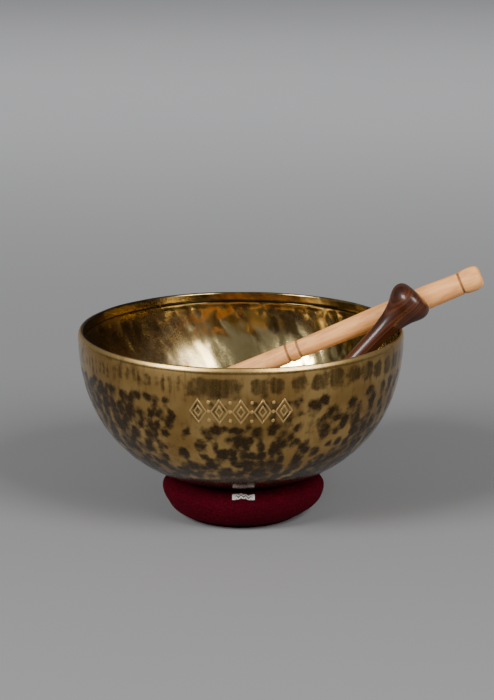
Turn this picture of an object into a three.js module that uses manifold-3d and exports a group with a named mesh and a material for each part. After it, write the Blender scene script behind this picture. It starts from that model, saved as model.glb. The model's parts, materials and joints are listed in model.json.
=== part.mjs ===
// A hammered brass singing bowl on a round felt cushion, with two turned wooden mallets
// leaning in it: a long straight one and a shorter one with a flared head.
// Millimetres, +Z up. The origin is on the bowl's axis, on the surface the cushion stands on,
// and both mallets lean towards +X.
import * as THREE from 'three';
import { mergeVertices } from 'three/addons/utils/BufferGeometryUtils.js';
import Module from 'manifold-3d';

const wasm = await Module();
wasm.setup();

// ---- driving dimensions -------------------------------------------------------------------

const GAP = 0.3;                // kept between pieces that touch on the real object
const REST_GAP = 0.45;          // kept under the bowl, whose facets differ from the cushion's

const BOWL_RADIUS = 150;        // outside, at the shoulder just under the rim
const BOWL_DEPTH = 143.5;       // from the shoulder down to the lowest point
const BOWL_FOOT = 31.5;         // height of the lowest point above the table
const BOWL_POWER_R = 2.36;      // fullness of the belly, outwards and downwards
const BOWL_POWER_Z = 2.27;
const BOWL_WALL = 3.2;          // beaten wall
const RIM_WALL = 4.6;           // thicker metal left at the lip
const RIM_FADE = 26;            // depth over which the lip thins into the wall
const RIM_CROWN = 1.4;          // rise of the rounded lip over the shoulder
const BOWL_FACETS = 64;

const CUSHION_RADIUS = 75;
const CUSHION_WAIST = 26;       // height of the widest line
const CUSHION_CREST_R = 65;     // the pressed-up ring round the dish
const CUSHION_CREST = 40;
const CUSHION_BASE_R = 56;      // where the side meets the table
const CUSHION_TOP_POWER = 2.1;  // roundness of the side, above and below the waist
const CUSHION_LOW_POWER = 1.75;
const CUSHION_FACETS = 48;
const FELT = 2;                 // cover thickness
const PANEL_RADIUS = 54;        // round panel sewn in underneath
const PANEL_THICKNESS = 1.6;
const SEAM_ALLOWANCE = 8;       // cover turned in above the panel
const THREAD_RADIUS = 0.4;
const THREAD_LINE = 50.5;       // radius of the stitch line

const LABEL_WIDTH = 20.5;       // woven tag on the front of the cover
const LABEL_BACK = 66;          // distance of its upper and lower edges from the axis
const LABEL_FRONT = 72.8;
const LABEL_THICKNESS = 0.6;

const MALLET_FACETS = 24;
const STRAIGHT_LEAN = 23.31;    // degrees above level
const STRAIGHT_TURN = -2.6;     // degrees from +X towards +Y
const STRAIGHT_FOOT = [-108.3, 32.2, 79]; // middle of the end that rests inside the bowl
const STRAIGHT_LENGTH = 360.5;
const FLARED_LEAN = 47.1;
const FLARED_TURN = 6;
const FLARED_FOOT = [4.5, -26.4, 40.7];
const FLARED_LENGTH = 232;

// ---- materials ----------------------------------------------------------------------------

const BRASS = new THREE.MeshStandardMaterial({ color: 0x8a6a2e, roughness: 0.3, metalness: 1 });
const PALE_WOOD = new THREE.MeshStandardMaterial({ color: 0xdcb78c, roughness: 0.5, metalness: 0 });
const DARK_WOOD = new THREE.MeshStandardMaterial({ color: 0x5c2a16, roughness: 0.25, metalness: 0 });
const MAROON_FELT = new THREE.MeshStandardMaterial({ color: 0x5a0a1e, roughness: 0.95, metalness: 0 });
const WADDING = new THREE.MeshStandardMaterial({ color: 0xd8d2c4, roughness: 1, metalness: 0 });
const MAROON_THREAD = new THREE.MeshStandardMaterial({ color: 0x6a1226, roughness: 0.8, metalness: 0 });
const WOVEN_WHITE = new THREE.MeshStandardMaterial({ color: 0xe6e2da, roughness: 0.85, metalness: 0 });

// ---- small helpers ------------------------------------------------------------------------

const at = (r, z) => new THREE.Vector2(r, z);
const steps = (count, place) => Array.from({ length: count + 1 }, (_, i) => place(i / count));

// A solid turned about Z, from an outline of (radius, height) points.
function turned(outline, facets) {
  return new THREE.LatheGeometry(outline, facets).rotateX(Math.PI / 2);
}

// A quarter of a superellipse about (r, z): it starts level with the centre, `wide` outwards,
// and ends `high` above it, or below it where high is negative.
function quarter(r, z, wide, high, power, count) {
  return steps(count, (share) => {
    const angle = (share * Math.PI) / 2;
    return at(
      r + wide * Math.max(Math.cos(angle), 0) ** (2 / power),
      z + high * Math.sin(angle) ** (2 / power),
    );
  });
}

function asSolid(geometry) {
  const bare = geometry.clone();
  bare.deleteAttribute('normal');
  bare.deleteAttribute('uv');
  const merged = mergeVertices(bare, 1e-4);
  return new wasm.Manifold(new wasm.Mesh({
    numProp: 3,
    vertProperties: Float32Array.from(merged.attributes.position.array),
    triVerts: Uint32Array.from(merged.index.array),
  }));
}

function asGeometry(solid) {
  const mesh = solid.getMesh();
  const geometry = new THREE.BufferGeometry();
  geometry.setAttribute('position', new THREE.Float32BufferAttribute(mesh.vertProperties, 3));
  geometry.setIndex(Array.from(mesh.triVerts));
  return geometry;
}

function piece(name, geometry, material) {
  const mesh = new THREE.Mesh(geometry, material);
  mesh.name = name;
  return mesh;
}

// ---- the bowl -----------------------------------------------------------------------------

const SHOULDER = BOWL_FOOT + BOWL_DEPTH;

// Height of the bowl's outside at a distance r from its axis.
function bowlOutsideAt(r) {
  const fill = 1 - (r / BOWL_RADIUS) ** BOWL_POWER_R;
  return SHOULDER - BOWL_DEPTH * fill ** (1 / BOWL_POWER_Z);
}

// One face of the wall, from the shoulder down to the axis. `thin` is the wall that the face
// stands inside the outer one by, and `extra` is the thickening left at the lip.
function bowlFace(thin, extra, count) {
  return steps(count, (share) => {
    const angle = (share * Math.PI) / 2;
    const drop = (BOWL_DEPTH - thin) * Math.sin(angle) ** (2 / BOWL_POWER_Z);
    const lip = extra * Math.max(1 - drop / RIM_FADE, 0) ** 2;
    const reach = Math.max(Math.cos(angle), 0) ** (2 / BOWL_POWER_R);
    return at((BOWL_RADIUS - thin - lip) * reach, SHOULDER - drop);
  });
}

function makeBowl() {
  const outside = bowlFace(0, 0, 15).reverse();
  const inside = bowlFace(BOWL_WALL, RIM_WALL - BOWL_WALL, 15);
  const lipMiddle = BOWL_RADIUS - RIM_WALL / 2;
  const lip = steps(6, (share) => {
    const angle = share * Math.PI;
    return at(lipMiddle + (RIM_WALL / 2) * Math.cos(angle), SHOULDER + RIM_CROWN * Math.sin(angle));
  }).slice(1, -1);
  return turned([...outside, ...lip, ...inside], BOWL_FACETS);
}

// ---- the cushion --------------------------------------------------------------------------

const TURN_IN = PANEL_THICKNESS + GAP;      // underside of the cover's turned-in edge
const HEM_TOP = TURN_IN + FELT;

// The cushion's surface, from the middle of the dish round to the underside, drawn `inset`
// inside the cover's outside and ending at the height `floor`.
function cushionSkin(inset, floor) {
  const dish = [0, 14, 27, 39, 50, 58].map((r) => at(r, bowlOutsideAt(r) - REST_GAP - inset));
  const crestRise = CUSHION_CREST - CUSHION_WAIST - inset;
  const upper = quarter(CUSHION_CREST_R, CUSHION_WAIST, CUSHION_RADIUS - CUSHION_CREST_R - inset,
    crestRise, CUSHION_TOP_POWER, 5).reverse();
  const lower = quarter(CUSHION_BASE_R, CUSHION_WAIST, CUSHION_RADIUS - CUSHION_BASE_R - inset,
    floor - CUSHION_WAIST, CUSHION_LOW_POWER, 6).slice(1);
  return [...dish, ...upper, ...lower];
}

function makeCushionCover() {
  const notch = THREAD_RADIUS + GAP;
  const hem = [
    at(PANEL_RADIUS + GAP, 0),
    at(PANEL_RADIUS + GAP, TURN_IN),
    at(THREAD_LINE + notch, TURN_IN),
    at(THREAD_LINE + notch, TURN_IN + 2 * notch),
    at(THREAD_LINE - notch, TURN_IN + 2 * notch),
    at(THREAD_LINE - notch, TURN_IN),
    at(PANEL_RADIUS - SEAM_ALLOWANCE, TURN_IN),
    at(PANEL_RADIUS - SEAM_ALLOWANCE, HEM_TOP),
  ];
  const inside = cushionSkin(FELT, HEM_TOP).reverse();
  return turned([...cushionSkin(0, 0), ...hem, ...inside].reverse(), CUSHION_FACETS);
}

function makeBasePanel() {
  return turned([
    at(0, 0), at(PANEL_RADIUS, 0), at(PANEL_RADIUS, PANEL_THICKNESS), at(0, PANEL_THICKNESS),
  ], CUSHION_FACETS);
}

function makeSeamThread() {
  const ring = steps(6, (share) => {
    const angle = share * 2 * Math.PI;
    return at(
      THREAD_LINE + THREAD_RADIUS * Math.cos(angle),
      TURN_IN + THREAD_RADIUS + THREAD_RADIUS * Math.sin(angle),
    );
  });
  return turned(ring, CUSHION_FACETS);
}

function makeFilling() {
  const plug = PANEL_RADIUS - SEAM_ALLOWANCE - GAP;
  const outline = [
    ...cushionSkin(FELT + GAP, HEM_TOP + GAP),
    at(plug, HEM_TOP + GAP),
    at(plug, TURN_IN),
    at(0, TURN_IN),
  ];
  return turned(outline.reverse(), CUSHION_FACETS);
}

// The tag follows the cover's rounded edge: a band of the skin, cut to the tag's size.
function makeLabel() {
  const near = cushionSkin(-GAP, 0);
  const far = cushionSkin(-GAP - LABEL_THICKNESS, 0).reverse();
  const band = asSolid(turned([...near, ...far], CUSHION_FACETS * 2));
  const cutter = new THREE.BoxGeometry(LABEL_WIDTH, LABEL_FRONT - LABEL_BACK, CUSHION_CREST);
  cutter.translate(0, -(LABEL_BACK + LABEL_FRONT) / 2, CUSHION_WAIST + CUSHION_CREST / 2);
  return asGeometry(band.intersect(asSolid(cutter)));
}

// ---- the mallets --------------------------------------------------------------------------

// The straight mallet from its foot up: grip, a bead between two cut lines, a long shaft that
// swells gently, a cut line and a rounded knob.
function makeStraightMallet() {
  const beadStart = 166.3;
  const beadEnd = 177;
  const knobStart = 340.3;
  const grip = [[0, 0], [0.4, 5.6], [2, 7.6], [5, 8.7], [60, 9.3], [120, 9.2], [160, 8.9]];
  const bead = [
    [beadStart - 0.6, 8.7], [beadStart, 7.7], [beadStart + 1, 8.4], [beadStart + 3.5, 9.3],
    [beadStart + 6.5, 9.5], [beadEnd - 1, 8.9], [beadEnd, 8.1],
  ];
  const shaft = [[179, 8.4], [200, 8.9], [220, 9.4], [241, 10], [265, 10.5], [303, 11.05], [321, 10.7]];
  const knob = [
    [knobStart - 1, 10.2], [knobStart, 9.2], [knobStart + 1.5, 10.6], [knobStart + 5, 11.3],
    [knobStart + 10, 11.55], [knobStart + 14, 11.1], [knobStart + 17.5, 10],
    [STRAIGHT_LENGTH - 0.7, 8], [STRAIGHT_LENGTH - 0.1, 4], [STRAIGHT_LENGTH, 0],
  ];
  return turned([...grip, ...bead, ...shaft, ...knob].map(([z, r]) => at(r, z)), MALLET_FACETS);
}

// The flared mallet: a grip that thickens towards the hand, a long waist, and a trumpet-shaped
// head with a rounded shoulder and a nearly flat end. The grip is set out from the foot, and
// the waist and head back from the head's end.
function makeFlaredMallet() {
  const grip = [[0, 0], [0.5, 5], [2.5, 8], [6, 9.6], [14, 10.4], [35, 10.2], [78, 9.2], [120, 8.6]];
  const fromEnd = [
    [84, 8.4], [64, 8.6], [51, 9.2], [40, 10.3], [32, 11.8],
    [23.5, 14.7], [18.5, 17.2], [14, 19.1], [10.2, 19.75], [6, 19.1], [3, 16.8], [1, 13],
    [0.2, 8], [0, 0],
  ];
  const rest = fromEnd.map(([back, r]) => [FLARED_LENGTH - back, r]);
  return turned([...grip, ...rest].map(([z, r]) => at(r, z)), MALLET_FACETS);
}

// Stands a mallet made along +Z on its foot, leaning up and away from it.
function lean(mesh, foot, leanDegrees, turnDegrees) {
  const up = THREE.MathUtils.degToRad(leanDegrees);
  const turn = THREE.MathUtils.degToRad(turnDegrees);
  const along = new THREE.Vector3(
    Math.cos(up) * Math.cos(turn), Math.cos(up) * Math.sin(turn), Math.sin(up),
  );
  mesh.quaternion.setFromUnitVectors(new THREE.Vector3(0, 0, 1), along);
  mesh.position.set(...foot);
  return mesh;
}

// ---- the assembly -------------------------------------------------------------------------

const cushion = new THREE.Group();
cushion.add(
  piece('cushion_cover', makeCushionCover(), MAROON_FELT),
  piece('cushion_base_panel', makeBasePanel(), MAROON_FELT),
  piece('cushion_seam_thread', makeSeamThread(), MAROON_THREAD),
  piece('cushion_filling', makeFilling(), WADDING),
  piece('cushion_label', makeLabel(), WOVEN_WHITE),
);

const mallets = new THREE.Group();
mallets.add(
  lean(piece('straight_mallet', makeStraightMallet(), PALE_WOOD),
    STRAIGHT_FOOT, STRAIGHT_LEAN, STRAIGHT_TURN),
  lean(piece('flared_mallet', makeFlaredMallet(), DARK_WOOD),
    FLARED_FOOT, FLARED_LEAN, FLARED_TURN),
);

const singingBowl = new THREE.Group();
singingBowl.add(cushion, piece('singing_bowl', makeBowl(), BRASS), mallets);

export default singingBowl;
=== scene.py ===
"""A hammered brass singing bowl on a felt cushion, with two turned mallets leaning in it.

Metres, +Z up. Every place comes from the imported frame: the bowl's and the cushion's boxes, and
the two ends of each mallet, found along the axis that its joint draws it out by.
"""
import json
import math

import bpy
import numpy as np
from mathutils import Matrix, Vector, noise
from mathutils.bvhtree import BVHTree


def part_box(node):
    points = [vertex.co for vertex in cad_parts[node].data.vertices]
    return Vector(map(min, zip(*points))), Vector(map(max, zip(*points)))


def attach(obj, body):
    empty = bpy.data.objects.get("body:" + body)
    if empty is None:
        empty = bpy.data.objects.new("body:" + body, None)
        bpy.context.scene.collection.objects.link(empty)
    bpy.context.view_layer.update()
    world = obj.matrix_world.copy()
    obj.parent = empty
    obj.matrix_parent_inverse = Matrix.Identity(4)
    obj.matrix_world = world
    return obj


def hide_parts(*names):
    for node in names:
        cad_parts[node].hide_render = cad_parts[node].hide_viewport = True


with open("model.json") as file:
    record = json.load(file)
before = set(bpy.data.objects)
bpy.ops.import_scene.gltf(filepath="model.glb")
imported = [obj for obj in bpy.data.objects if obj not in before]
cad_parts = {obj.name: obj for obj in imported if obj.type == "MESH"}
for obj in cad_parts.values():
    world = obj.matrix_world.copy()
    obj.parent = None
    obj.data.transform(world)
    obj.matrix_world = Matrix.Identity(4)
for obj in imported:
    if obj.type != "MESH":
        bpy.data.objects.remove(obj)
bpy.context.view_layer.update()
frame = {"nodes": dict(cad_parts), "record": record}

noise.seed_set(1)                # noise vectors, which make the cushion uneven, repeat each run
MM = 0.001
nodes = frame["nodes"]
joints = {joint["name"]: joint for joint in frame["record"]["behaviour"]["joints"]}

# ---- driving dimensions ----------------------------------------------------------------------

bowl_low, bowl_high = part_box("singing_bowl")
RADIUS = (bowl_high[0] - bowl_low[0]) / 2
FOOT = bowl_low[2]
CREST = bowl_high[2]
CROWN = 1.4 * MM                 # rise of the rounded lip over the shoulder
ROUNDED = 1.2 * MM               # how far the top of the outside leans in to the lip
ROUNDED_HIGH = 4.5 * MM          # and over how much of its height
SHOULDER = CREST - CROWN
DEPTH = SHOULDER - FOOT
POWER_R, POWER_Z = 2.36, 2.27    # fullness of the belly, outwards and downwards
WALL, LIP_WALL, LIP_FADE = 3.2 * MM, 4.6 * MM, 26 * MM
BAND = 27 * MM                   # smooth band round the outside, under the shoulder
SCRIBED = 9.5 * MM               # depth of the scribed line inside, under the crest
SCRIBED_DEEP, SCRIBED_WIDE = 0.5 * MM, 0.45 * MM
OUT_MARK, OUT_PITCH = (5.4 * MM, 7.2 * MM), (9 * MM, 9 * MM)     # hammer marks: across, downhill
IN_MARK, IN_PITCH = (8.5 * MM, 18 * MM), (11 * MM, 19 * MM)
IN_SLANT = 0.42                  # turn of the long marks inside, in radians
IN_TWIST = 4.0                   # radians by which their patina winds round, per metre down
OUT_DENT = 0.24 * MM             # depth of the marks outside
FRONT = 1.5 * math.pi            # angle round the bowl that faces the camera
BORDER_DROP = 38 * MM            # middle of the engraved border on the front, under the shoulder
BORDER_WIDE, BORDER_HIGH = 98 * MM, 24 * MM

cushion_low, cushion_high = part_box("cushion_cover")
CUSHION_RADIUS = (cushion_high[0] - cushion_low[0]) / 2
CUSHION_TOP = cushion_high[2]
CUSHION_WAIST = 0.65 * CUSHION_TOP
CUSHION_CREST_R = 0.87 * CUSHION_RADIUS      # the pressed-up ring round the dish
CUSHION_BASE_R = 0.75 * CUSHION_RADIUS       # where the side meets the table
CUSHION_SHIFT = 2.2 * MM                     # the cushion sits a little to the right
CUSHION_GAP = 0.4 * MM                       # between the felt and the bowl that lies on it
panel_low, panel_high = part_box("cushion_base_panel")
PANEL_RADIUS = (panel_high[0] - panel_low[0]) / 2
PANEL_TOP = panel_high[2]
stitch_low, stitch_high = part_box("cushion_seam_thread")
STITCH_RADIUS = (stitch_high[0] - stitch_low[0]) / 2 - 0.4 * MM
label_low, label_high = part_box("cushion_label")


# ---- mesh helpers ----------------------------------------------------------------------------

def add_mesh(name, verts, faces):
    mesh = bpy.data.meshes.new(name)
    mesh.from_pydata([tuple(v) for v in verts], [], [tuple(int(i) for i in f) for f in faces])
    mesh.validate()
    mesh.shade_smooth()
    piece = bpy.data.objects.new(name, mesh)
    bpy.context.scene.collection.objects.link(piece)
    return piece


def grid_faces(rows, around):
    """Quads of a grid that closes on itself the second way."""
    j, i = np.meshgrid(np.arange(rows - 1), np.arange(around), indexing="ij")
    k = (i + 1) % around
    corners = [j * around + i, j * around + k, (j + 1) * around + k, (j + 1) * around + i]
    return np.stack(corners, -1).reshape(-1, 4)


def closed_faces(rows, around):
    """Faces of a turned body whose last two points are its two ends on the axis."""
    start, last = rows * around, (rows - 1) * around
    caps = [(start, (i + 1) % around, i) for i in range(around)]
    caps += [(start + 1, last + i, last + (i + 1) % around) for i in range(around)]
    return list(grid_faces(rows, around)) + caps


def turned(name, outline, around):
    """A body turned about Z from (radius, height) rows, the first and last on the axis."""
    angle = np.arange(around) * 2 * math.pi / around
    rings = outline[1:-1]
    r, z = rings[:, :1], rings[:, 1:]
    points = np.stack([r * np.cos(angle), r * np.sin(angle), z + 0 * angle], -1)
    ends = [[0, 0, outline[0, 1]], [0, 0, outline[-1, 1]]]
    verts = np.concatenate([points.reshape(-1, 3), ends])
    return add_mesh(name, verts, closed_faces(len(rings), around))


def smooth_outline(points, spacing):
    """Rows along a smooth line through (radius, height) points, about `spacing` apart."""
    points = np.array(points, float)
    fine = [points[0]]
    for a in range(len(points) - 1):
        before, here = points[max(a - 1, 0)], points[a]
        there, after = points[a + 1], points[min(a + 2, len(points) - 1)]
        count = max(int(np.linalg.norm(there - here) / spacing), 2)
        limit = 1.2 * np.linalg.norm(there - here)
        leave, arrive = (there - before) / 2, (after - here) / 2
        leave *= min(1, limit / max(np.linalg.norm(leave), 1e-9))
        arrive *= min(1, limit / max(np.linalg.norm(arrive), 1e-9))
        for t in np.arange(1, count + 1) / count:
            fine.append((2 * t**3 - 3 * t**2 + 1) * here + (t**3 - 2 * t**2 + t) * leave
                        + (3 * t**2 - 2 * t**3) * there + (t**3 - t**2) * arrive)
    fine = np.array(fine)
    fine[:, 0] = np.maximum(fine[:, 0], 0)
    return fine


def coordinates(mesh):
    flat = np.empty(len(mesh.vertices) * 3)
    mesh.vertices.foreach_get("co", flat)
    return flat.reshape(-1, 3)


def put_coordinates(mesh, points):
    mesh.vertices.foreach_set("co", points.ravel())
    mesh.update()


def add_values(mesh, name, values):
    """One number for each point, which a material reads by its name."""
    mesh.attributes.new(name, "FLOAT", "POINT").data.foreach_set("value", values)


def bake_modifiers(piece):
    """Gives the piece the mesh that its modifiers make, and takes them off."""
    graph = bpy.context.evaluated_depsgraph_get()
    made = bpy.data.meshes.new_from_object(piece.evaluated_get(graph))
    piece.modifiers.clear()
    piece.data = made


def finish_piece(piece, material, body, slot, *replaced):
    """Gives the piece its material and the body it rides on, and hides the nodes it replaces.
    The slot is not used.
    """
    piece.data.materials.clear()
    piece.data.materials.append(material)
    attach(piece, body)
    if replaced:
        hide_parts(*replaced)
    return piece


# ---- material helpers ------------------------------------------------------------------------

class Shader:
    """A node material, built by calls that return output sockets."""

    def __init__(self, name):
        self.material = bpy.data.materials.new(name)
        self.material.use_nodes = True
        self.tree = self.material.node_tree
        self.tree.nodes.clear()

    def node(self, kind, inputs=None, **settings):
        node = self.tree.nodes.new(kind)
        for key, value in settings.items():
            setattr(node, key, value)
        for key, value in (inputs or {}).items():
            socket = node.inputs[key]
            if isinstance(value, bpy.types.NodeSocket):
                self.tree.links.new(value, socket)
            else:
                socket.default_value = value
        return node

    def place(self, scale=(1, 1, 1), move=(0, 0, 0)):
        """The piece's own coordinates in metres, stretched by scale."""
        coords = self.node("ShaderNodeTexCoord").outputs["Object"]
        return self.node("ShaderNodeMapping", {
            "Vector": coords, "Scale": scale, "Location": move}).outputs["Vector"]

    def height(self):
        """Distance along the piece's own Z."""
        coords = self.node("ShaderNodeTexCoord").outputs["Object"]
        return self.node("ShaderNodeSeparateXYZ", {"Vector": coords}).outputs["Z"]

    def attribute(self, name, output="Fac"):
        return self.node("ShaderNodeAttribute", attribute_name=name).outputs[output]

    def stretch(self, vector, scale):
        return self.node("ShaderNodeMapping", {"Vector": vector, "Scale": scale}).outputs["Vector"]

    def noise(self, vector, scale, detail=3, roughness=0.5, distortion=0.0):
        return self.node("ShaderNodeTexNoise", {
            "Vector": vector, "Scale": scale, "Detail": detail, "Roughness": roughness,
            "Distortion": distortion}).outputs["Fac"]

    def rings(self, vector, scale, distortion, detail):
        """Growth rings about the piece's Z."""
        return self.node("ShaderNodeTexWave", {
            "Vector": vector, "Scale": scale, "Distortion": distortion, "Detail": detail},
            wave_type="RINGS", rings_direction="Z").outputs["Fac"]

    def math(self, operation, a, b=0.0, clamp=False):
        node = self.node("ShaderNodeMath", {0: a, 1: b}, operation=operation, use_clamp=clamp)
        return node.outputs[0]

    def near(self, value, middle, reach):
        """1 where value is within about `reach` of middle, and 0 past twice that."""
        away = self.math("ABSOLUTE", self.math("SUBTRACT", value, middle))
        return self.fade(away, reach, 2 * reach, 1.0, 0.0)

    def fade(self, value, low, high, out_low=0.0, out_high=1.0):
        """Smoothly from out_low at low to out_high at high."""
        ends = {"From Min": low, "From Max": high, "To Min": out_low, "To Max": out_high}
        node = self.node("ShaderNodeMapRange", {"Value": value, **ends},
                         interpolation_type="SMOOTHSTEP")
        return node.outputs["Result"]

    def mix(self, share, a, b):
        node = self.tree.nodes.new("ShaderNodeMix")
        node.data_type = "RGBA"
        for socket, value in ((node.inputs[0], share), (node.inputs[6], a), (node.inputs[7], b)):
            if isinstance(value, bpy.types.NodeSocket):
                self.tree.links.new(value, socket)
            else:
                socket.default_value = value
        return node.outputs[2]

    def bump(self, height, strength, distance, normal=None):
        inputs = {"Height": height, "Strength": strength, "Distance": distance}
        if normal is not None:
            inputs["Normal"] = normal
        return self.node("ShaderNodeBump", inputs).outputs["Normal"]

    def surface(self, **inputs):
        """The principled shader; a name's underscores stand for spaces."""
        named = {key.replace("_", " "): value for key, value in inputs.items()}
        shader = self.node("ShaderNodeBsdfPrincipled", named)
        output = self.tree.nodes.new("ShaderNodeOutputMaterial")
        self.tree.links.new(shader.outputs[0], output.inputs["Surface"])
        return self.material


def colour(red, green, blue):
    """A colour given as it is seen, 0 to 255, made linear."""
    shares = [v / 255 for v in (red, green, blue)]
    return tuple(v / 12.92 if v < 0.04 else ((v + 0.055) / 1.055) ** 2.4 for v in shares) + (1,)


# ---- materials -------------------------------------------------------------------------------

def brass_outside():
    """Polished brown brass. "stain" is over 0 inside a dark hammer mark, "band_stain" inside a
    dark block of the smooth band."""
    s = Shader("hammered_brass_outside")
    twist = s.attribute("twist", "Vector")
    drop = s.attribute("drop")
    wide = s.noise(twist, 22, 2, 0.5)
    ragged = s.noise(twist, 120, 3, 0.5)
    fine = s.noise(twist, 700, 3, 0.65)
    streak = s.noise(s.stretch(twist, (1, 1, 0.06)), 260, 3, 0.6)
    edge = s.fade(ragged, 0.28, 0.72, -0.6, 0.6)
    spot = s.fade(s.math("ADD", s.attribute("stain"), edge), -0.7, 0.9)
    block = s.fade(s.math("ADD", s.attribute("band_stain"), edge), -0.7, 0.7)
    golden = s.mix(s.fade(wide, 0.35, 0.65), colour(200, 164, 102), colour(168, 132, 74))
    golden = s.mix(s.fade(ragged, 0.5, 0.7, 0, 0.4), golden, colour(134, 98, 58))
    golden = s.mix(s.fade(streak, 0.5, 0.75, 0, 0.35), golden, colour(104, 78, 48))
    # Painted highlight: the top 4 mm under the shoulder is painted a lighter gold to brighten the
    # lip's highlight line; the same mask also roughens the lip.
    lip = s.fade(drop, 4 * MM, 0)
    golden = s.mix(s.math("MULTIPLY", lip, 0.6), golden, colour(214, 182, 118))
    dark = s.mix(s.fade(fine, 0.35, 0.65), colour(50, 38, 27), colour(76, 60, 42))
    dark = s.mix(s.fade(drop, 0.05, 0.11, 0, 0.5), dark, colour(60, 58, 52))
    cover = s.math("MULTIPLY", s.fade(fine, 0.2, 0.7, 0.95, 0.7),
                   s.fade(streak, 0.3, 0.6, 0.75, 1))
    tone = s.mix(s.math("MULTIPLY", block, cover), golden, colour(72, 55, 31))
    tone = s.mix(s.math("MULTIPLY", spot, 0.93), tone, dark)
    rough = s.math("ADD", s.fade(fine, 0.3, 0.8, 0.13, 0.2), s.math("MULTIPLY", spot, 0.1))
    rough = s.math("ADD", rough, s.math("MULTIPLY", lip, 0.22))
    height = s.math("SUBTRACT", s.math("MULTIPLY", streak, 0.4), s.math("MULTIPLY", spot, 0.5))
    height = s.math("MULTIPLY", height, s.fade(drop, 0, 6 * MM))
    normal = s.bump(height, 0.1, 0.0004)
    normal = s.bump(s.math("MULTIPLY", fine, spot), 0.12, 0.0003, normal)
    return s.surface(Base_Color=tone, Metallic=1.0, Roughness=rough, Normal=normal)


def brass_inside():
    """Brighter brass, gouged by the hammer, with brown left in the pits and the scribed line, and
    painted darker on the left, as painted shade."""
    s = Shader("hammered_brass_inside")
    twist = s.attribute("twist", "Vector")
    drop = s.attribute("drop")
    dent = s.attribute("dent")
    wide = s.noise(twist, 26, 2, 0.5)
    ragged = s.noise(twist, 150, 3, 0.6)
    fine = s.noise(twist, 600, 3, 0.65)
    streak = s.noise(s.stretch(twist, (1, 1, 0.16)), 110, 3, 0.6, 0.4)
    golden = s.mix(s.fade(wide, 0.35, 0.65), colour(238, 215, 154), colour(214, 191, 128))
    # Painted reflection: slanted streaks of browner tone stand in for the streaky reflections of
    # the hammered facets; the same noise also bumps the surface.
    golden = s.mix(s.fade(streak, 0.48, 0.68, 0, 0.5), golden, colour(160, 134, 90))
    # Painted shade: where the hammer marks are shallow, at the ridges between them, the brass is
    # painted browner.
    golden = s.mix(s.fade(dent, 0.25, 0.0, 0, 0.5), golden, colour(108, 88, 60))
    edge = s.fade(ragged, 0.25, 0.75, -0.5, 0.5)
    pit = s.fade(s.math("ADD", s.attribute("stain"), edge), 0.2, 0.9)
    tone = s.mix(s.math("MULTIPLY", pit, 0.85), golden, colour(78, 60, 40))
    scribed_drop = SCRIBED - CROWN
    above = s.math("MULTIPLY", s.fade(drop, scribed_drop, scribed_drop - 1 * MM),
                   s.fade(ragged, 0.35, 0.65, 0.35, 0.7))
    tone = s.mix(above, tone, colour(116, 94, 64))
    # Painted shade: the left of the inside is painted darker brown, its upper part darkest; the
    # same mask also roughens it.
    across = s.node("ShaderNodeSeparateXYZ", {"Vector": twist}).outputs["X"]
    painted_left_shade = s.math("MULTIPLY", s.fade(across, -35 * MM, -100 * MM),
                     s.fade(ragged, 0.35, 0.65, 0.85, 1.0))
    tone = s.mix(painted_left_shade, tone, colour(88, 73, 54))
    upper = s.math("MULTIPLY", painted_left_shade, s.fade(drop, 50 * MM, 20 * MM, 0, 0.85))
    tone = s.mix(upper, tone, colour(60, 49, 38))
    line = s.near(drop, scribed_drop, 0.55 * MM)
    tone = s.mix(s.math("MULTIPLY", line, 0.92), tone, colour(34, 22, 12))
    rough = s.math("ADD", s.fade(fine, 0.3, 0.8, 0.12, 0.19), s.math("MULTIPLY", pit, 0.12))
    rough = s.math("ADD", rough, s.math("MULTIPLY", painted_left_shade, 0.16))
    normal = s.bump(s.math("ADD", streak, s.math("MULTIPLY", fine, 0.15)), 0.08, 0.0005)
    return s.surface(Base_Color=tone, Metallic=1.0, Roughness=rough, Normal=normal)


def cut_brass():
    """Bright metal laid bare by the engraver."""
    s = Shader("cut_brass")
    fine = s.noise(s.place(), 900, 3, 0.6)
    tone = s.mix(fine, colour(204, 170, 108), colour(230, 198, 140))
    normal = s.bump(fine, 0.15, 0.0003)
    return s.surface(Base_Color=tone, Metallic=1.0, Roughness=0.34, Normal=normal)


def pale_wood(cuts):
    """Pale close-grained wood along Z, painted browner in the turned lines at the heights `cuts`,
    as painted shade in their grooves.
    """
    s = Shader("pale_wood")
    grain = s.noise(s.place((1, 1, 0.05)), 320, 3, 0.6, 0.5)
    mottle = s.noise(s.place((1, 1, 0.35)), 110, 3, 0.6)
    pores = s.noise(s.place((1, 1, 0.06)), 1600, 2, 0.6)
    tone = s.mix(s.fade(grain, 0.35, 0.65), colour(246, 182, 112), colour(232, 158, 92))
    tone = s.mix(s.fade(mottle, 0.44, 0.68, 0, 0.7), tone, colour(204, 134, 82))
    tone = s.mix(s.fade(pores, 0.6, 0.75, 0, 0.45), tone, colour(150, 92, 56))
    # Painted shade: a browner line at each cut height, where the turned grooves lie.
    for cut in cuts:
        line = s.near(s.height(), cut, 0.8 * MM)
        tone = s.mix(s.math("MULTIPLY", line, 0.75), tone, colour(112, 70, 42))
    normal = s.bump(s.math("ADD", grain, pores), 0.12, 0.0003)
    return s.surface(Base_Color=tone, Roughness=0.55, Normal=normal, Specular_IOR_Level=0.3,
                     Coat_Weight=0.08, Coat_Roughness=0.3)


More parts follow.
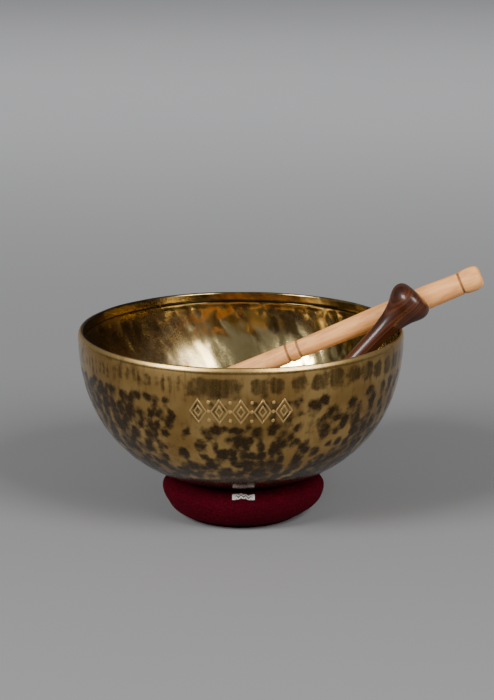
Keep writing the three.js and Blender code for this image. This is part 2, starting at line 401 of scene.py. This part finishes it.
def rosewood():
    """Dark reddish wood, its growth rings centred well off the turned axis."""
    s = Shader("rosewood")
    heart = s.place((1, 1, 0.10), (0.034, 0.022, 0))
    ring = s.rings(heart, 110, 2.6, 2.5)
    ring_two = s.rings(heart, 37, 3.4, 2.0)
    pores = s.noise(s.place((1, 1, 0.035)), 1300, 3, 0.65)
    cloud = s.noise(s.place((1, 1, 0.4)), 40, 2, 0.5)
    tone = s.mix(s.fade(ring, 0.2, 0.85), colour(76, 37, 17), colour(50, 24, 11))
    tone = s.mix(s.fade(ring_two, 0.62, 0.95, 0, 0.7), tone, colour(32, 14, 8))
    tone = s.mix(s.fade(cloud, 0.42, 0.7, 0, 0.4), tone, colour(92, 46, 20))
    tone = s.mix(s.fade(pores, 0.55, 0.72, 0, 0.6), tone, colour(36, 17, 12))
    normal = s.bump(pores, 0.08, 0.0002)
    return s.surface(Base_Color=tone, Roughness=0.42, Normal=normal, Specular_IOR_Level=0.25,
                     Coat_Weight=0.3, Coat_Roughness=0.16)


def felt():
    """Matted wool, dark between the fibres and lighter on the clumps."""
    s = Shader("maroon_felt")
    where = s.place()
    fuzz = s.noise(where, 1700, 3, 0.7)
    clump = s.noise(where, 620, 3, 0.6)
    wide = s.noise(where, 34, 2, 0.5)
    tone = s.mix(s.fade(fuzz, 0.32, 0.7), colour(22, 0, 5), colour(80, 3, 20))
    tone = s.mix(s.fade(clump, 0.48, 0.66, 0, 0.65), tone, colour(94, 6, 24))
    tone = s.mix(s.fade(wide, 0.35, 0.7, 0, 0.4), tone, colour(52, 0, 14))
    normal = s.bump(clump, 0.4, 0.0009)
    normal = s.bump(fuzz, 0.6, 0.0006, normal)
    return s.surface(Base_Color=tone, Roughness=0.95, Normal=normal, Specular_IOR_Level=0.05,
                     Sheen_Weight=0.05, Sheen_Roughness=0.5, Sheen_Tint=colour(170, 20, 50))


def thread():
    s = Shader("maroon_thread")
    ply = s.noise(s.place(), 1500, 2, 0.6)
    tone = s.mix(ply, colour(74, 6, 20), colour(120, 18, 40))
    return s.surface(Base_Color=tone, Roughness=0.8, Normal=s.bump(ply, 0.5, 0.0003))


def wadding_fibre():
    s = Shader("cotton_wadding")
    tuft = s.noise(s.place(), 240, 4, 0.7, 0.6)
    tone = s.mix(tuft, colour(214, 206, 190), colour(240, 236, 226))
    return s.surface(Base_Color=tone, Roughness=1.0, Normal=s.bump(tuft, 0.8, 0.002))


def woven_tape():
    """White tape with a woven border of dark chevrons. "across" and "down" run over it in
    metres from its middle."""
    s = Shader("woven_tape")
    across, down = s.attribute("across"), s.attribute("down")
    weft_pitch, warp_pitch = 0.45 * MM, 0.35 * MM
    weft = s.math("SINE", s.math("MULTIPLY", down, 2 * math.pi / weft_pitch))
    warp = s.math("SINE", s.math("MULTIPLY", across, 2 * math.pi / warp_pitch))
    weave = s.math("MULTIPLY", weft, warp)
    zigzag = s.math("PINGPONG", across, 2.2 * MM)
    line = s.math("PINGPONG", s.math("ADD", down, zigzag), 1.5 * MM)
    chevron = s.fade(line, 0.55 * MM, 0.85 * MM)
    middle = s.math("MULTIPLY", s.near(down, 0, 1.9 * MM), s.near(across, 0, 4.8 * MM))
    drawn = s.math("MULTIPLY", s.math("MULTIPLY", chevron, middle), 0.9)
    tone = s.mix(s.fade(weave, -1, 1), colour(226, 220, 210), colour(246, 244, 240))
    tone = s.mix(drawn, tone, colour(46, 40, 40))
    return s.surface(Base_Color=tone, Roughness=0.8, Normal=s.bump(weave, 0.5, 0.0002),
                     Specular_IOR_Level=0.3)


def plain_floor():
    s = Shader("pale_floor")
    darker, lighter = (0.222, 0.224, 0.230, 1), (0.236, 0.238, 0.244, 1)
    shade = s.mix(s.noise(s.place(), 1.2, 2, 0.5), darker, lighter)
    return s.surface(Base_Color=shade, Roughness=0.8, Specular_IOR_Level=0.2)


# ---- the bowl --------------------------------------------------------------------------------

def wall_line(thin, extra, angle):
    """One face of the wall at `angle` from 0 at the shoulder to a quarter turn at the foot."""
    drop = (DEPTH - thin) * np.sin(angle) ** (2 / POWER_Z)
    lip = extra * np.maximum(1 - drop / LIP_FADE, 0) ** 2
    reach = np.maximum(np.cos(angle), 0) ** (2 / POWER_R)
    return np.stack([(RADIUS - thin - lip) * reach, SHOULDER - drop], -1)


def outside_radius(drop):
    """Distance of the outside from the axis, at a depth under the shoulder."""
    angle = np.arcsin(np.clip(drop / DEPTH, 0, 1) ** (POWER_Z / 2))
    return RADIUS * np.maximum(np.cos(angle), 0) ** (2 / POWER_R)


def outside_height(reach):
    """Height of the outside, at a distance from the axis."""
    fill = 1 - np.clip(reach / RADIUS, 0, 1) ** POWER_R
    return SHOULDER - DEPTH * fill ** (1 / POWER_Z)


def resample(line, spacing_at):
    """The line's points again, set apart by spacing_at(radius, height)."""
    lengths = np.concatenate([[0], np.cumsum(np.linalg.norm(np.diff(line, axis=0), axis=1))])
    gaps = np.array([spacing_at(*p) for p in line])
    steps = np.concatenate([[0], np.cumsum(np.diff(lengths) / ((gaps[1:] + gaps[:-1]) / 2))])
    wanted = np.linspace(0, steps[-1], int(round(steps[-1])) + 1)
    return np.stack([np.interp(wanted, steps, line[:, k]) for k in (0, 1)], -1)


def hammer_marks(seed, top, across, down, dark_share):
    """Hammer marks in rings over the wall: where each is, its size, its depth, and 1 if patina
    is left in it. dark_share(drop) is how many of the marks are dark."""
    random = np.random.default_rng(seed)
    line = wall_line(WALL / 2, 0, np.linspace(0, math.pi / 2, 400))
    lengths = np.concatenate([[0], np.cumsum(np.linalg.norm(np.diff(line, axis=0), axis=1))])
    marks = []
    for at in np.arange(top, lengths[-1], down):
        count = max(int(2 * math.pi * np.interp(at, lengths, line[:, 0]) / across), 1)
        spread = random.uniform(-0.45, 0.45, count)
        for turn in (np.arange(count) + spread) / count + random.uniform():
            here = min(at + random.uniform(-0.45, 0.45) * down, lengths[-1])
            reach, z = (np.interp(here, lengths, line[:, k]) for k in (0, 1))
            angle = 2 * math.pi * turn
            place = (reach * math.cos(angle), reach * math.sin(angle), z)
            cluster = noise.noise(Vector(place) * 16) * 0.75
            dark = random.uniform() < dark_share(SHOULDER - z) + cluster
            marks.append([*place, random.uniform(0.65, 1.35), random.uniform(0.4, 1.0), dark])
    return np.array(marks)


def hammered(points, marks, across, down, slant):
    """For each point, how deep it lies in the hammer marks, 0 to 1, as dishes that meet in
    ridges, and how far inside a dark mark it is. The marks are longer downhill than across,
    and `slant` turns their long way."""
    depth = np.zeros(len(points))
    stain = np.full(len(points), -1.0)
    sharp, parts = 16, 60
    for part in np.array_split(np.arange(len(points)), parts):
        p = points[part]
        angle = np.arctan2(p[:, 1], p[:, 0])
        level = np.stack([-np.sin(angle), np.cos(angle), 0 * angle], -1)
        near = marks[np.abs(marks[:, 2] - p[:, 2].mean()) < np.ptp(p[:, 2]) / 2 + 2.2 * down]
        if not len(near):
            continue
        delta = near[None, :, :3] - p[:, None]
        sideways = np.einsum("ijk,ik->ij", delta, level)
        downhill = -np.sign(delta[:, :, 2] - 1e-9) * np.sqrt(
            np.maximum((delta**2).sum(-1) - sideways**2, 0))
        u = sideways * math.cos(slant) + downhill * math.sin(slant)
        v = downhill * math.cos(slant) - sideways * math.sin(slant)
        inside = 1 - ((u / across)**2 + (v / down)**2) / near[:, 3]**2
        depth[part] = np.log(np.exp(sharp * near[:, 4] * np.clip(inside, -2, 1)).sum(1)) / sharp
        stain[part] = np.where(near[:, 5] > 0, np.maximum(inside, -1), -1).max(1)
    return np.clip(depth, 0, 1.1), stain


def band_blocks(angle, drop):
    """How far inside the band's blocks of patina each point is, over 0 within one. A block is
    an angle, half its width, the depth of its middle, half its height, and how faint it is."""
    random = np.random.default_rng(5)
    long_patch = (FRONT - 23 * MM / RADIUS, 26 * MM, 17 * MM, 10 * MM, 0.1)
    blocks = [long_patch]
    start = FRONT + 8 * MM / RADIUS
    while start < FRONT + 2 * math.pi - 52 * MM / RADIUS:
        worn = start > 2.55 * math.pi                # rubbed away over the front left
        half = (random.uniform(1.5, 3.5) if worn else random.uniform(5, 9)) * MM
        middle, half_high = random.uniform(13, 16) * MM, random.uniform(7, 10) * MM
        faint = random.uniform(0.5, 1.0) if worn else random.uniform(0, 0.45)
        start += half / RADIUS
        blocks.append((start, half, middle, half_high, faint))
        start += (half + random.uniform(1, 5) * MM) / RADIUS
    stain = np.full(len(angle), -1.0)
    for centre, half, middle, half_high, faint in blocks:
        u = np.abs((angle - centre + math.pi) % (2 * math.pi) - math.pi) * RADIUS / half
        v = np.abs(drop - middle) / half_high
        stain = np.maximum(stain, np.maximum(1 - u**4 - v**4, -1) - faint)
    return stain


def row_gap(r, z):
    """Distance between the bowl's rows of points, small at the lip and at the scribed line."""
    within = r < outside_radius(SHOULDER - z) - 0.6 * WALL
    if abs(z - SHOULDER) < 2.2 * MM or (within and abs(z - (CREST - SCRIBED)) < 1.4 * MM):
        return 0.5 * MM
    return 2.5 * MM if within else 3.0 * MM


def bowl_line():
    """The outline as (radius, height) rows, up the outside, over the lip and down the inside."""
    quarter = np.linspace(0, math.pi / 2, 700)
    outside = wall_line(0, 0, quarter[::-1])
    outside[:, 0] -= ROUNDED * np.maximum(1 - (SHOULDER - outside[:, 1]) / ROUNDED_HIGH, 0) ** 2
    inside = wall_line(WALL, LIP_WALL - WALL, quarter)
    over = np.linspace(0, math.pi, 41)[1:-1]
    lip_r = RADIUS - ROUNDED - (LIP_WALL - ROUNDED) / 2 * (1 - np.cos(over))
    lip = np.stack([lip_r, SHOULDER + CROWN * np.sin(over)], -1)
    return resample(np.concatenate([outside, lip, inside]), row_gap)


def hammer_bowl(points, inner, drops, turn):
    """How far each point is beaten into the metal, how deep it lies in a hammer mark, 0 to 1,
    and how far inside a dark mark it is. `inner` is true on the inside, `drops` is the depth
    under the shoulder and `turn` the angle round the bowl."""
    out_marks = hammer_marks(3, BAND + 4 * MM, *OUT_PITCH, lambda drop: 0.2 + 7.5 * drop)
    in_marks = hammer_marks(11, SCRIBED + 4 * MM, *IN_PITCH, lambda drop: 0.6 - 13 * drop)
    dent, stain = np.zeros(len(points)), np.full(len(points), -1.0)
    dent[~inner], stain[~inner] = hammered(points[~inner], out_marks, *OUT_MARK, 0)
    dent[inner], stain[inner] = hammered(points[inner], in_marks, *IN_MARK, IN_SLANT)

    sideways = (turn - FRONT) * RADIUS
    past_side = (np.abs(sideways) - BORDER_WIDE / 2) / (6 * MM)
    past_end = (np.abs(drops - BORDER_DROP) - BORDER_HIGH / 2) / (4 * MM)
    plain = np.clip(np.maximum(past_side, past_end), 0, 1)      # 0 under the engraved border
    fade_out = np.clip((drops - BAND * 0.85) / (10 * MM), 0, 1) * plain
    fade_in = np.clip((drops - SCRIBED - 0.5 * MM) / (4 * MM), 0, 1)
    gouge_at = [10 * MM, 35 * MM, 70 * MM, DEPTH]
    gouge = np.interp(drops, gouge_at, [1.2 * MM, 0.9 * MM, 0.4 * MM, 0.3 * MM])
    depth = np.where(inner, dent * fade_in * gouge, dent * fade_out * OUT_DENT)
    groove = np.exp(-((points[:, 2] - (CREST - SCRIBED)) / SCRIBED_WIDE)**2) * inner
    depth += groove * SCRIBED_DEEP
    wobble = np.sin(5 * turn + 1) + 0.7 * np.sin(11 * turn + 2.3) + 0.5 * np.sin(17 * turn)
    depth += 0.12 * MM * wobble * np.exp(-np.abs(drops) / (9 * MM))

    below = np.where(inner, drops - SCRIBED, drops - BAND) + 1 * MM
    below = np.clip(below / (3 * MM), 0, 1)
    by_border = np.where(inner, 0, 0.7 * (1 - plain))
    stain = np.where(below > 0, stain - (1 - below) - by_border, -1)
    return depth, dent, stain


def make_bowl():
    around = 500
    line = bowl_line()
    rows = line[1:-1]
    lip_row = int(np.argmax(line[:, 1])) - 1
    slope = np.gradient(rows, axis=0)
    normal = np.stack([slope[:, 1], -slope[:, 0]], -1)
    normal /= np.linalg.norm(normal, axis=1)[:, None]

    angle = np.arange(around) * 2 * math.pi / around
    ring = np.stack([np.cos(angle), np.sin(angle)], -1)
    heights = np.repeat(rows[:, None, 1:], around, 1)
    points = np.concatenate([rows[:, None, :1] * ring, heights], -1).reshape(-1, 3)
    inner = np.repeat(np.arange(len(rows)) > lip_row, around)
    drops = np.repeat(SHOULDER - rows[:, 1], around)
    turn = np.tile(angle, len(rows))
    depth, dent, stain = hammer_bowl(points, inner, drops, turn)

    facing = np.repeat(normal, around, 0)
    points[:, :2] -= facing[:, :1] * depth[:, None] * np.tile(ring, (len(rows), 1))
    points[:, 2] -= facing[:, 1] * depth
    verts = np.concatenate([points, [[0, 0, line[0, 1]], [0, 0, line[-1, 1]]]])
    bowl = add_mesh("hammered_bowl", verts, closed_faces(len(rows), around))

    mesh = bowl.data
    twist_by = np.append(np.where(inner, IN_TWIST, 0.0), [0.0, IN_TWIST])
    spin = np.arctan2(verts[:, 1], verts[:, 0]) + twist_by * (SHOULDER - verts[:, 2])
    reach = np.hypot(verts[:, 0], verts[:, 1])
    twist = np.stack([reach * np.cos(spin), reach * np.sin(spin), verts[:, 2]], -1)
    mesh.attributes.new("twist", "FLOAT_VECTOR", "POINT").data.foreach_set("vector", twist.ravel())
    on_band = ~inner & (drops < BAND + 3 * MM)
    band_stain = np.where(on_band, band_blocks(turn, drops), -1)
    values = {"drop": drops, "dent": dent, "stain": stain, "band_stain": band_stain}
    for name, value in values.items():
        add_values(mesh, name, np.append(value, [value[0], value[-1]]))
    mesh.materials.append(brass_outside())
    mesh.materials.append(brass_inside())
    quad_side = np.repeat(np.arange(len(rows) - 1) >= lip_row, around).astype(int)
    side = np.concatenate([quad_side, np.zeros(around, int), np.ones(around, int)])
    mesh.polygons.foreach_set("material_index", side)
    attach(bowl, "bowl")
    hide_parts("singing_bowl")


def on_front(across, down, lift):
    """A point of the bowl's front: metres to the right of and below the middle of the engraved
    border, and out from the metal."""
    drop = BORDER_DROP + down
    reach = float(outside_radius(np.array(drop))) + lift
    angle = FRONT + across / RADIUS
    return (reach * math.cos(angle), reach * math.sin(angle), SHOULDER - drop)


def cut_stroke(path, verts, faces):
    """Adds one closed engraved stroke along a loop of (across, down) points: a groove between
    two raised edges."""
    width, burr, sunk = 1.5 * MM, 0.22 * MM, -0.05 * MM
    profile = [(-0.5, sunk), (-0.3, burr), (0, 0.02 * MM), (0.3, burr), (0.5, sunk), (0, sunk * 2)]
    path = np.array(path, float)
    base, count = len(verts), len(path)
    for k, here in enumerate(path):
        back, ahead = here - path[k - 1], path[(k + 1) % count] - here
        back, ahead = back / np.linalg.norm(back), ahead / np.linalg.norm(ahead)
        mean = (back + ahead) / np.linalg.norm(back + ahead)
        side = np.array([-mean[1], mean[0]]) / max(float(mean @ back), 0.5)
        verts += [on_front(*(here + side * width * u), lift) for u, lift in profile]
    faces += [tuple(base + i for i in quad) for quad in grid_faces(count + 1, len(profile)) % (
        count * len(profile))]


def closed_path(middle, wide, high, corners, per_side):
    """Points along a closed shape's sides: a lozenge with 4 corners, a dot with more."""
    angles = [2 * math.pi * k / corners for k in range(corners)]
    points = [np.array([middle[0] + wide / 2 * math.cos(a), middle[1] + high / 2 * math.sin(a)])
              for a in angles]
    drawn = []
    for k, corner in enumerate(points):
        for share in np.arange(per_side) / per_side:
            drawn.append(corner + (points[(k + 1) % corners] - corner) * share)
    return drawn


def make_border():
    """A row of lozenges, one inside the other, with a column of dots between each pair."""
    count, pitch, dot_size = 5, BORDER_WIDE / 5.1, 1.8 * MM
    verts, faces = [], []
    for k in range(count):
        middle = ((k - (count - 1) / 2) * pitch, 0)
        for wide, high in ((0.78, 0.9), (0.34, 0.4)):
            lozenge = closed_path(middle, wide * pitch, high * BORDER_HIGH, 4, 5)
            cut_stroke(lozenge, verts, faces)
        if k == count - 1:
            break
        for level in (-0.36, 0, 0.36):
            dot = (middle[0] + pitch / 2, level * BORDER_HIGH)
            cut_stroke(closed_path(dot, dot_size, dot_size, 10, 1), verts, faces)
    border = add_mesh("engraved_border", verts, faces)
    return finish_piece(border, cut_brass(), "bowl", "bowl_brass")


# ---- the mallets -----------------------------------------------------------------------------

def stand_along(piece, node, joint):
    """Puts a mallet made along Z from its foot on the CAD node."""
    axis = Vector(joints[joint]["axis"]).normalized()
    foot = min((v.co for v in nodes[node].data.vertices), key=lambda co: co.dot(axis))
    turn = Vector((0, 0, 1)).rotation_difference(axis).to_matrix().to_4x4()
    piece.matrix_world = Matrix.Translation(foot) @ turn


def node_length(node, joint):
    """Length of a CAD mallet along its joint's axis, in millimetres."""
    axis = Vector(joints[joint]["axis"]).normalized()
    along = [v.co.dot(axis) for v in nodes[node].data.vertices]
    return (max(along) - min(along)) / MM


def make_straight_mallet():
    """Grip, a bead between two cut lines, a shaft that swells gently, a cut line and a knob.
    The outline is in millimetres, as (radius, distance from the foot)."""
    length = node_length("straight_mallet", "straight_mallet_draw")
    bead, knob = 166.3, length - 20.2
    grip = [(0, 0), (3.5, 0.15), (6.2, 0.9), (7.8, 2.6), (8.7, 5.5), (9.1, 25), (9.3, 60),
            (9.3, 110), (9.05, 150), (8.9, bead - 1.4), (8.7, bead - 0.6), (7.8, bead)]
    collar = [(8.5, bead + 0.9), (9.1, bead + 2.6), (9.45, bead + 5), (9.45, bead + 7.5),
              (9.0, bead + 9.6), (8.3, bead + 10.7), (8.25, bead + 12)]
    shaft = [(8.5, bead + 15), (8.9, 200), (9.4, 220), (10.0, 241), (10.5, 265), (10.85, 284),
             (11.05, 303), (10.75, 321), (10.35, knob - 1.6), (10.1, knob - 0.6), (9.2, knob)]
    tip = [(10.3, knob + 1), (10.9, knob + 2.8), (11.35, knob + 6), (11.5, knob + 9.5),
           (11.3, knob + 13), (10.6, knob + 16.4), (9.2, length - 1.6), (7.2, length - 0.5),
           (4, length - 0.1), (0, length)]
    outline = [(r * MM, z * MM) for r, z in grip + collar + shaft + tip]
    piece = turned("turned_straight_mallet", smooth_outline(outline, 1.6 * MM), 72)
    stand_along(piece, "straight_mallet", "straight_mallet_draw")
    wood = pale_wood([bead * MM, (bead + 11.3) * MM, knob * MM])
    return finish_piece(piece, wood, "straight_mallet", "pale_wood", "straight_mallet")


def make_flared_mallet():
    """A grip set out from the foot, and a waist and trumpet-shaped head set back from the end,
    in millimetres."""
    length = node_length("flared_mallet", "flared_mallet_draw")
    grip = [(0, 0), (4, 0.2), (7.4, 1.6), (9.3, 4.5), (10.2, 9), (10.4, 16), (10.2, 35),
            (9.2, 78), (8.6, 120)]
    head = [(8.4, 84), (8.6, 64), (9.2, 51), (10.3, 40), (11.8, 32), (14.6, 23.5), (17.0, 18.7),
            (18.8, 14.6), (19.65, 11), (19.5, 7.8), (18.5, 4.9), (16.6, 2.7), (14, 1.3),
            (10.5, 0.5), (6, 0.15), (0, 0)]
    head = [(r, length - back) for r, back in head]
    outline = [(r * MM, z * MM) for r, z in grip + head]
    piece = turned("turned_flared_mallet", smooth_outline(outline, 1.6 * MM), 72)
    stand_along(piece, "flared_mallet", "flared_mallet_draw")
    return finish_piece(piece, rosewood(), "flared_mallet", "dark_wood", "flared_mallet")


# ---- the cushion -----------------------------------------------------------------------------

def cushion_outline(inset):
    """(radius, height) rows from the middle of the dish round to the middle underneath."""
    slack_top, slack_low = 1.05, 1.26            # 1 is an ellipse, and more is less full
    dish = [(r, outside_height(r) - 0.45 * MM - inset)
            for r in np.linspace(0, 0.9 * CUSHION_CREST_R, 14)]
    wide_top = CUSHION_RADIUS - CUSHION_CREST_R - inset
    wide_low = CUSHION_RADIUS - CUSHION_BASE_R - inset
    quarter = np.linspace(0, math.pi / 2, 9)
    upper = [(CUSHION_CREST_R + wide_top * math.sin(a) ** slack_top,
              CUSHION_WAIST + (CUSHION_TOP - CUSHION_WAIST - inset) * math.cos(a) ** slack_top)
             for a in quarter]
    lower = [(CUSHION_BASE_R + wide_low * max(math.cos(a), 0) ** slack_low,
              CUSHION_WAIST - (CUSHION_WAIST - inset) * math.sin(a) ** slack_low)
             for a in quarter[1:]]
    return np.array(dish + upper + lower + [(0.5 * CUSHION_BASE_R, inset), (0, inset)])


def inflate(piece, reach):
    """Cloth filled with air: each point moves by at most `reach` from where it starts."""
    start = coordinates(piece.data)
    held = piece.vertex_groups.new(name="held")
    held.add([int(i) for i in np.nonzero(start[:, 2] < 5 * MM)[0]], 1.0, "REPLACE")
    cloth = piece.modifiers.new("cloth", "CLOTH")
    cloth.settings.quality = 6
    cloth.settings.use_pressure = True
    cloth.settings.uniform_pressure_force = 4
    cloth.settings.vertex_group_mass = "held"
    cloth.settings.effector_weights.gravity = 0
    scene, steps = bpy.context.scene, 20
    for step in range(1, steps + 1):
        scene.frame_set(step)
    bake_modifiers(piece)
    scene.frame_set(1)
    moved = coordinates(piece.data) - start
    far = np.linalg.norm(moved, axis=1)[:, None]
    put_coordinates(piece.data, start + moved * np.minimum(1, reach / np.maximum(far, 1e-9)))


def fit_width(points):
    """Brings the side back to the cushion's width, more the further it is from the dish."""
    points = points.copy()
    reach = np.hypot(points[:, 0], points[:, 1])
    widest, swell = np.percentile(reach, 99), 1.016
    share = np.clip((reach - 0.6 * widest) / (0.4 * widest), 0, 1)
    share *= np.clip(points[:, 2] / (8 * MM), 0, 1)
    points[:, :2] *= (1 + (swell * CUSHION_RADIUS / widest - 1) * share)[:, None]
    points[:, 2] *= 1 + (CUSHION_TOP / points[:, 2].max() - 1) * share
    return points


def settle(points):
    """Keeps the felt under the bowl, off the table and above the panel sewn in underneath."""
    points = points.copy()
    reach = np.hypot(points[:, 0], points[:, 1])
    points[:, 2] = np.minimum(points[:, 2], outside_height(reach) - CUSHION_GAP)
    over_panel = np.clip((PANEL_RADIUS + 1.5 * MM - reach) / (2 * MM), 0, 1)
    points[:, 2] = np.maximum(points[:, 2], over_panel * (PANEL_TOP + 0.5 * MM))
    return points


def make_cushion():
    """The felt cover, drawn a little small and blown up like a stuffed bag, then pressed down
    by the bowl."""
    piece = turned("felt_cushion", cushion_outline(3 * MM), 120)
    even = piece.modifiers.new("even", "REMESH")
    even.mode, even.voxel_size = "VOXEL", 4.5 * MM
    bake_modifiers(piece)
    uneven, unevenness = coordinates(piece.data), 1.3 * MM
    for point in uneven:
        point += unevenness * np.array(noise.noise_vector(Vector(point) * 22))
    put_coordinates(piece.data, uneven)
    inflate(piece, 4 * MM)
    put_coordinates(piece.data, settle(fit_width(coordinates(piece.data))))
    smooth = piece.modifiers.new("smooth", "SUBSURF")
    smooth.levels = smooth.render_levels = 1
    bake_modifiers(piece)
    points = coordinates(piece.data)
    reach = np.hypot(points[:, 0], points[:, 1])
    points[:, 0] += CUSHION_SHIFT * np.clip((reach - CUSHION_CREST_R) / (6 * MM), 0, 1)
    put_coordinates(piece.data, settle(points))
    piece.data.shade_smooth()
    return finish_piece(piece, felt(), "cushion", "maroon_felt", "cushion_cover")


def make_wadding(cover):
    """The loose filling, an inner copy of the cover's shape."""
    mesh = cover.data.copy()
    piece = bpy.data.objects.new("cotton_wadding", mesh)
    bpy.context.scene.collection.objects.link(piece)
    normals = np.empty(len(mesh.vertices) * 3)
    mesh.vertices.foreach_get("normal", normals)
    felt_thickness = 2.2 * MM
    put_coordinates(mesh, coordinates(mesh) - normals.reshape(-1, 3) * felt_thickness)
    return finish_piece(piece, wadding_fibre(), "cushion", "wadding", "cushion_filling")


def make_base_panel():
    """Round felt panel sewn in underneath, with a channel pulled in by the stitches."""
    channel, deep = 1.6 * MM, 0.7 * MM
    edge = PANEL_RADIUS - 0.8 * MM
    under = [(r, deep * math.exp(-((r - STITCH_RADIUS) / channel)**2))
             for r in np.linspace(0, edge, 44)]
    side = [(edge + 0.8 * MM * math.sin(a), PANEL_TOP / 2 * (1 - math.cos(a)))
            for a in np.linspace(0.2, math.pi - 0.2, 7)]
    over = [(edge, PANEL_TOP), (edge / 2, PANEL_TOP), (0, PANEL_TOP)]
    piece = turned("felt_base_panel", np.array(under + side + over), 120)
    return finish_piece(piece, felt(), "cushion", "maroon_felt", "cushion_base_panel")


def make_stitches():
    """Hand stitches in the panel's channel, each a short plump loop of thread."""
    count, rings, sides = 72, 7, 8
    long, thick = 3.2 * MM, 0.6 * MM
    verts, faces = [], []
    for k in range(count):
        base, middle = len(verts), 2 * math.pi * k / count
        for share in np.linspace(0, 1, rings):
            half = thick / 2 * (0.35 + 0.65 * math.sin(math.pi * share) ** 0.5)
            sink = 0.35 * MM * abs(2 * share - 1) ** 3
            angle = middle + (share - 0.5) * long / STITCH_RADIUS
            for b in range(sides):
                across = STITCH_RADIUS + half * math.cos(2 * math.pi * b / sides)
                z = 0.45 * MM + sink + half * math.sin(2 * math.pi * b / sides)
                verts.append((across * math.cos(angle), across * math.sin(angle), z))
        faces += [tuple(base + i for i in reversed(quad)) for quad in grid_faces(rings, sides)]
        faces += [tuple(base + i for i in range(sides)),
                  tuple(base + (rings - 1) * sides + i for i in reversed(range(sides)))]
    piece = add_mesh("panel_stitches", verts, faces)
    return finish_piece(piece, thread(), "cushion", "maroon_thread", "cushion_seam_thread")


def make_label(cover):
    """A woven tag sewn flat on the front of the cushion, its two ends folded under."""
    felt_tree = BVHTree.FromObject(cover, bpy.context.evaluated_depsgraph_get())
    wide = label_high[0] - label_low[0]
    back, front = -label_high[1], -label_low[1] - 1.6 * MM      # distances towards the camera
    thick, fold_wide, lift_off = 0.35 * MM, 2.4 * MM, 0.25 * MM
    across = np.linspace(-0.5, 0.5, 33) * wide
    down = np.linspace(back, front, 13)
    verts, over, along = [], [], []
    for layer in (1, 0):
        for y in down:
            for x in across:
                hit = felt_tree.ray_cast(Vector((x + CUSHION_SHIFT, -y, 1)), Vector((0, 0, -1)))[0]
                fold = thick if wide / 2 - abs(x) < fold_wide else 0
                edge = min(1, (wide / 2 - abs(x)) / (0.6 * MM))
                lift = lift_off + layer * (thick + fold) * (0.4 + 0.6 * edge)
                lift += layer * 0.12 * MM * noise.noise(Vector((x, y, 0)) * 400)
                verts.append((hit.x, hit.y, hit.z + lift))
                over.append(x)
                along.append(y - (back + front) / 2)
    columns, layer_size = len(across), len(across) * len(down)
    faces = []
    for j in range(len(down) - 1):
        for i in range(columns - 1):
            here, there = j * columns + i, (j + 1) * columns + i
            quad = [here, there, there + 1, here + 1]
            faces += [quad, [layer_size + v for v in reversed(quad)]]
    rim = list(range(columns)) + [j * columns + columns - 1 for j in range(1, len(down))]
    rim += [layer_size - 1 - i for i in range(1, columns)]
    rim += [j * columns for j in range(len(down) - 2, 0, -1)]
    for here, there in zip(rim, rim[1:] + rim[:1]):
        faces.append([here, there, layer_size + there, layer_size + here])
    piece = add_mesh("woven_label_tag", verts, faces)
    add_values(piece.data, "across", over)
    add_values(piece.data, "down", along)
    return finish_piece(piece, woven_tape(), "cushion", "woven_label", "cushion_label")


# ---- light, camera and floor -----------------------------------------------------------------

def make_stage():
    bpy.ops.mesh.primitive_plane_add(size=16, location=(0, 0, 0))
    floor = bpy.context.object
    floor.name = "floor"
    floor.data.materials.append(plain_floor())


def softbox(name, position, aim, size, power, tint=(1, 1, 1)):
    """A soft oblong lamp; its power is in watts."""
    data = bpy.data.lights.new(name, "AREA")
    data.shape, data.size, data.size_y = "RECTANGLE", size[0], size[1]
    data.energy, data.color = power, tint
    lamp = bpy.data.objects.new(name, data)
    lamp.location = position
    lamp.rotation_mode = "QUATERNION"
    lamp.rotation_quaternion = (Vector(aim) - Vector(position)).to_track_quat("-Z", "Y")
    bpy.context.scene.collection.objects.link(lamp)


def make_light():
    """Two softboxes in front, left and right, a wide one over the far floor, and a dim room."""
    middle = Vector((0, 0, 0.12))
    away = 3.0
    left, right = Vector((-0.64, -0.56, 0.53)), Vector((0.53, -0.63, 0.56))
    warm = (1, 0.98, 0.96)
    softbox("lamp_left", middle + away * left, middle, (1.1, 1.1), 106, warm)
    softbox("lamp_right", middle + away * right, middle, (1.2, 1.4), 96, warm)
    softbox("lamp_backdrop", (0, 2.2, 3.0), (0, 6.4, 0), (8, 1.5), 385)
    world = bpy.data.worlds.new("grey_room")
    world.use_nodes = True
    background = world.node_tree.nodes["Background"]
    background.inputs["Color"].default_value = (0.98, 0.99, 1, 1)
    background.inputs["Strength"].default_value = 0.17
    bpy.context.scene.world = world


def make_camera():
    """Looks down at the bowl from in front, far enough away for a long lens."""
    elevation, distance, focal = math.radians(13.8), 2.0, 111.57
    down, right = math.radians(0.6), math.radians(0.165)
    data = bpy.data.cameras.new("camera")
    data.lens, data.sensor_width, data.sensor_fit = focal, 36, "AUTO"
    camera = bpy.data.objects.new("camera", data)
    camera.location = (0, -distance * math.cos(elevation), CREST + distance * math.sin(elevation))
    camera.rotation_euler = (math.pi / 2 - elevation - down, 0, -right)
    bpy.context.scene.collection.objects.link(camera)
    bpy.context.scene.camera = camera


make_camera()
make_stage()
make_light()
make_bowl()
make_border()
make_straight_mallet()
make_flared_mallet()
felt_cover = make_cushion()
make_wadding(felt_cover)
make_base_panel()
make_stitches()
make_label(felt_cover)
